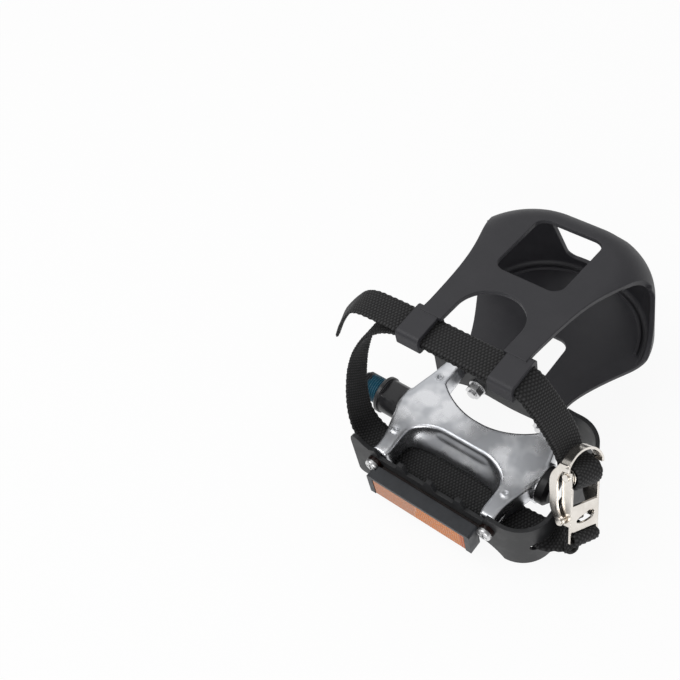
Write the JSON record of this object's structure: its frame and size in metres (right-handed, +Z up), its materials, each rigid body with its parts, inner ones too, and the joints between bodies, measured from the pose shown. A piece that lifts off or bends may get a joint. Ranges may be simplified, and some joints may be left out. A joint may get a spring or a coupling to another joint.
{
  "type": "toe clip pedal",
  "caption": "Right-hand bicycle pedal with a cast body, toothed cage, rear reflector, moulded toe clip and a webbing strap with a sprung buckle.",
  "frame": {"origin": "on the spindle axis at the face that seats on the crank", "axes": "+X outboard along the spindle, +Y forward to the toe, +Z up"},
  "size_m": [0.1613, 0.1629, 0.0971],
  "materials": {
    "cast_alloy": "polished, cloudy",
    "black_steel": "satin",
    "dark_steel": "satin",
    "bearing_steel": "ground",
    "zinc_steel": "plated",
    "nickel_plate": "polished",
    "clip_nylon": "satin, fine grain",
    "black_plastic": "satin",
    "amber_lens": "moulded prisms",
    "webbing": "woven"
  },
  "bodies": {
    "spindle": {"spindle": "dark_steel", "cone": "bearing_steel", "lock_washer": "bearing_steel", "locknut": "bearing_steel"},
    "pedal": {"body": "cast_alloy", "cage": "black_steel", "cup_inboard": "bearing_steel", "cup_outboard": "bearing_steel", "dust_cap": "black_plastic", "reflector_lens": "amber_lens", "reflector_shroud": "black_plastic", "screw_rear_inboard": "zinc_steel", "screw_rear_outboard": "zinc_steel", "screw_front_inboard": "zinc_steel", "screw_front_outboard": "zinc_steel", "toe_clip": "clip_nylon", "clip_bolt_inboard": "zinc_steel", "clip_bolt_outboard": "zinc_steel", "clip_washer_inboard": "zinc_steel", "clip_washer_outboard": "zinc_steel", "clip_nut_inboard": "zinc_steel", "clip_nut_outboard": "zinc_steel", "strap": "webbing", "buckle_frame": "nickel_plate", "roller_pin": "nickel_plate", "bail_pin": "nickel_plate", "bail_spring": "nickel_plate"},
    "balls_inboard": {"balls_inboard": "bearing_steel"},
    "balls_outboard": {"balls_outboard": "bearing_steel"},
    "buckle_bail": {"buckle_bail": "nickel_plate"},
    "buckle_roller": {"buckle_roller": "nickel_plate"}
  },
  "joints": [
    {"name": "pedal_spin", "type": "hinge", "parent": "spindle", "child": "pedal", "pos_m": [0, 0, 0], "axis": [1, 0, 0], "continuous": true},
    {"name": "balls_inboard_orbit", "type": "hinge", "parent": "spindle", "child": "balls_inboard", "pos_m": [0, 0, 0], "axis": [1, 0, 0], "continuous": true},
    {"name": "balls_outboard_orbit", "type": "hinge", "parent": "spindle", "child": "balls_outboard", "pos_m": [0, 0, 0], "axis": [1, 0, 0], "continuous": true},
    {"name": "bail_open", "type": "hinge", "parent": "pedal", "child": "buckle_bail", "pos_m": [0.12025, -0.00913, 0.00859], "axis": [0.2617, 0.8452, -0.4661], "range_deg": [0, 40], "stiffness_Nm_per_rad": 0.02, "springref_deg": -8.59},
    {"name": "roller_turn", "type": "hinge", "parent": "pedal", "child": "buckle_roller", "pos_m": [0.11558, 0.00167, 0.02555], "axis": [0.2617, 0.8452, -0.4661], "continuous": true}
  ],
  "couplings": [
    {"joint": "balls_inboard_orbit", "follows": "pedal_spin", "ratio": 0.61364},
    {"joint": "balls_outboard_orbit", "follows": "pedal_spin", "ratio": 0.63393}
  ]
}
